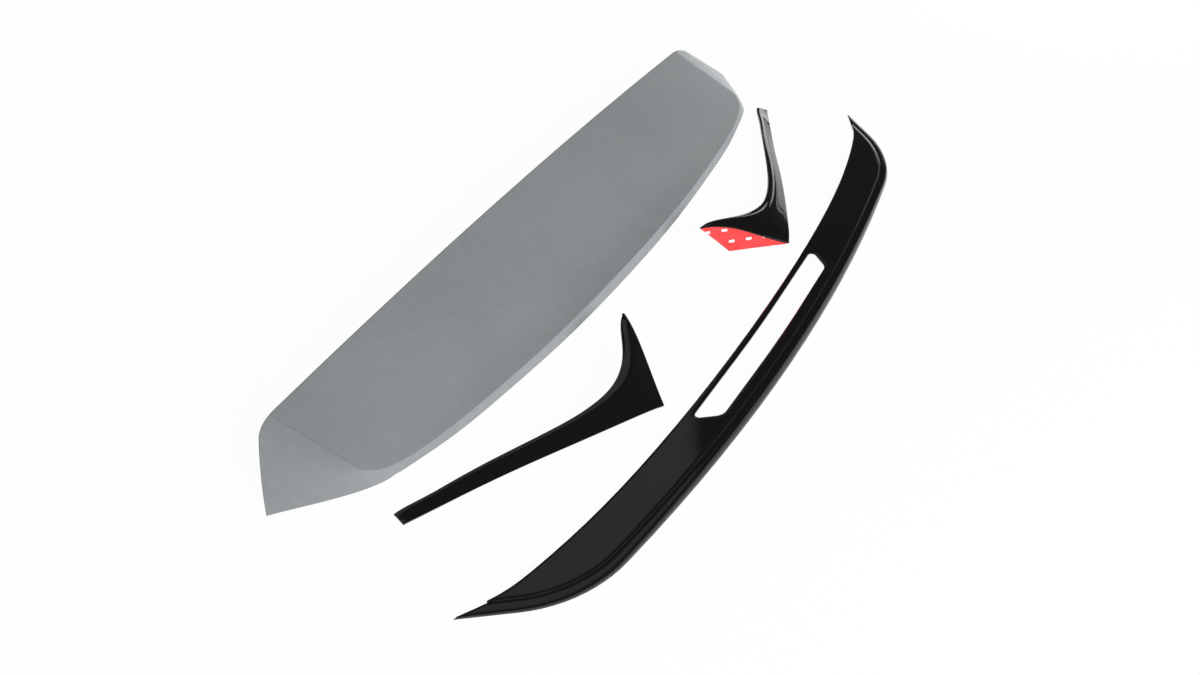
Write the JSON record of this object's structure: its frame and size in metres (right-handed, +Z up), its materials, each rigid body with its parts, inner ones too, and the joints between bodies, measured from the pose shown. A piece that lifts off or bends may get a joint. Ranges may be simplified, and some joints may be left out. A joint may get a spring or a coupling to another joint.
{
  "type": "car roof spoiler set",
  "caption": "Hatchback roof spoiler set laid out for fitting: primed wing, gloss black blade with a brake lamp slot, and a mirrored pair of gloss black side fins.",
  "frame": {"origin": "bottom centre of the whole set's bounding box, on the floor", "axes": "+X along the span of the wing, +Y towards the wing's leading edge, +Z up"},
  "size_m": [1.2066, 0.4895, 0.0838],
  "materials": {
    "grey_primer": "grey primer coat, satin, ready for body colour",
    "gloss_black": "piano black moulded plastic, high gloss",
    "tape_liner": "red film liner over adhesive foam, plain white marks"
  },
  "bodies": {
    "root": {"wing_shell": "grey_primer", "blade_shell": "gloss_black", "fin_left": "gloss_black", "fin_right": "gloss_black", "fin_left_tape": "tape_liner", "fin_right_tape": "tape_liner"}
  },
  "joints": []
}
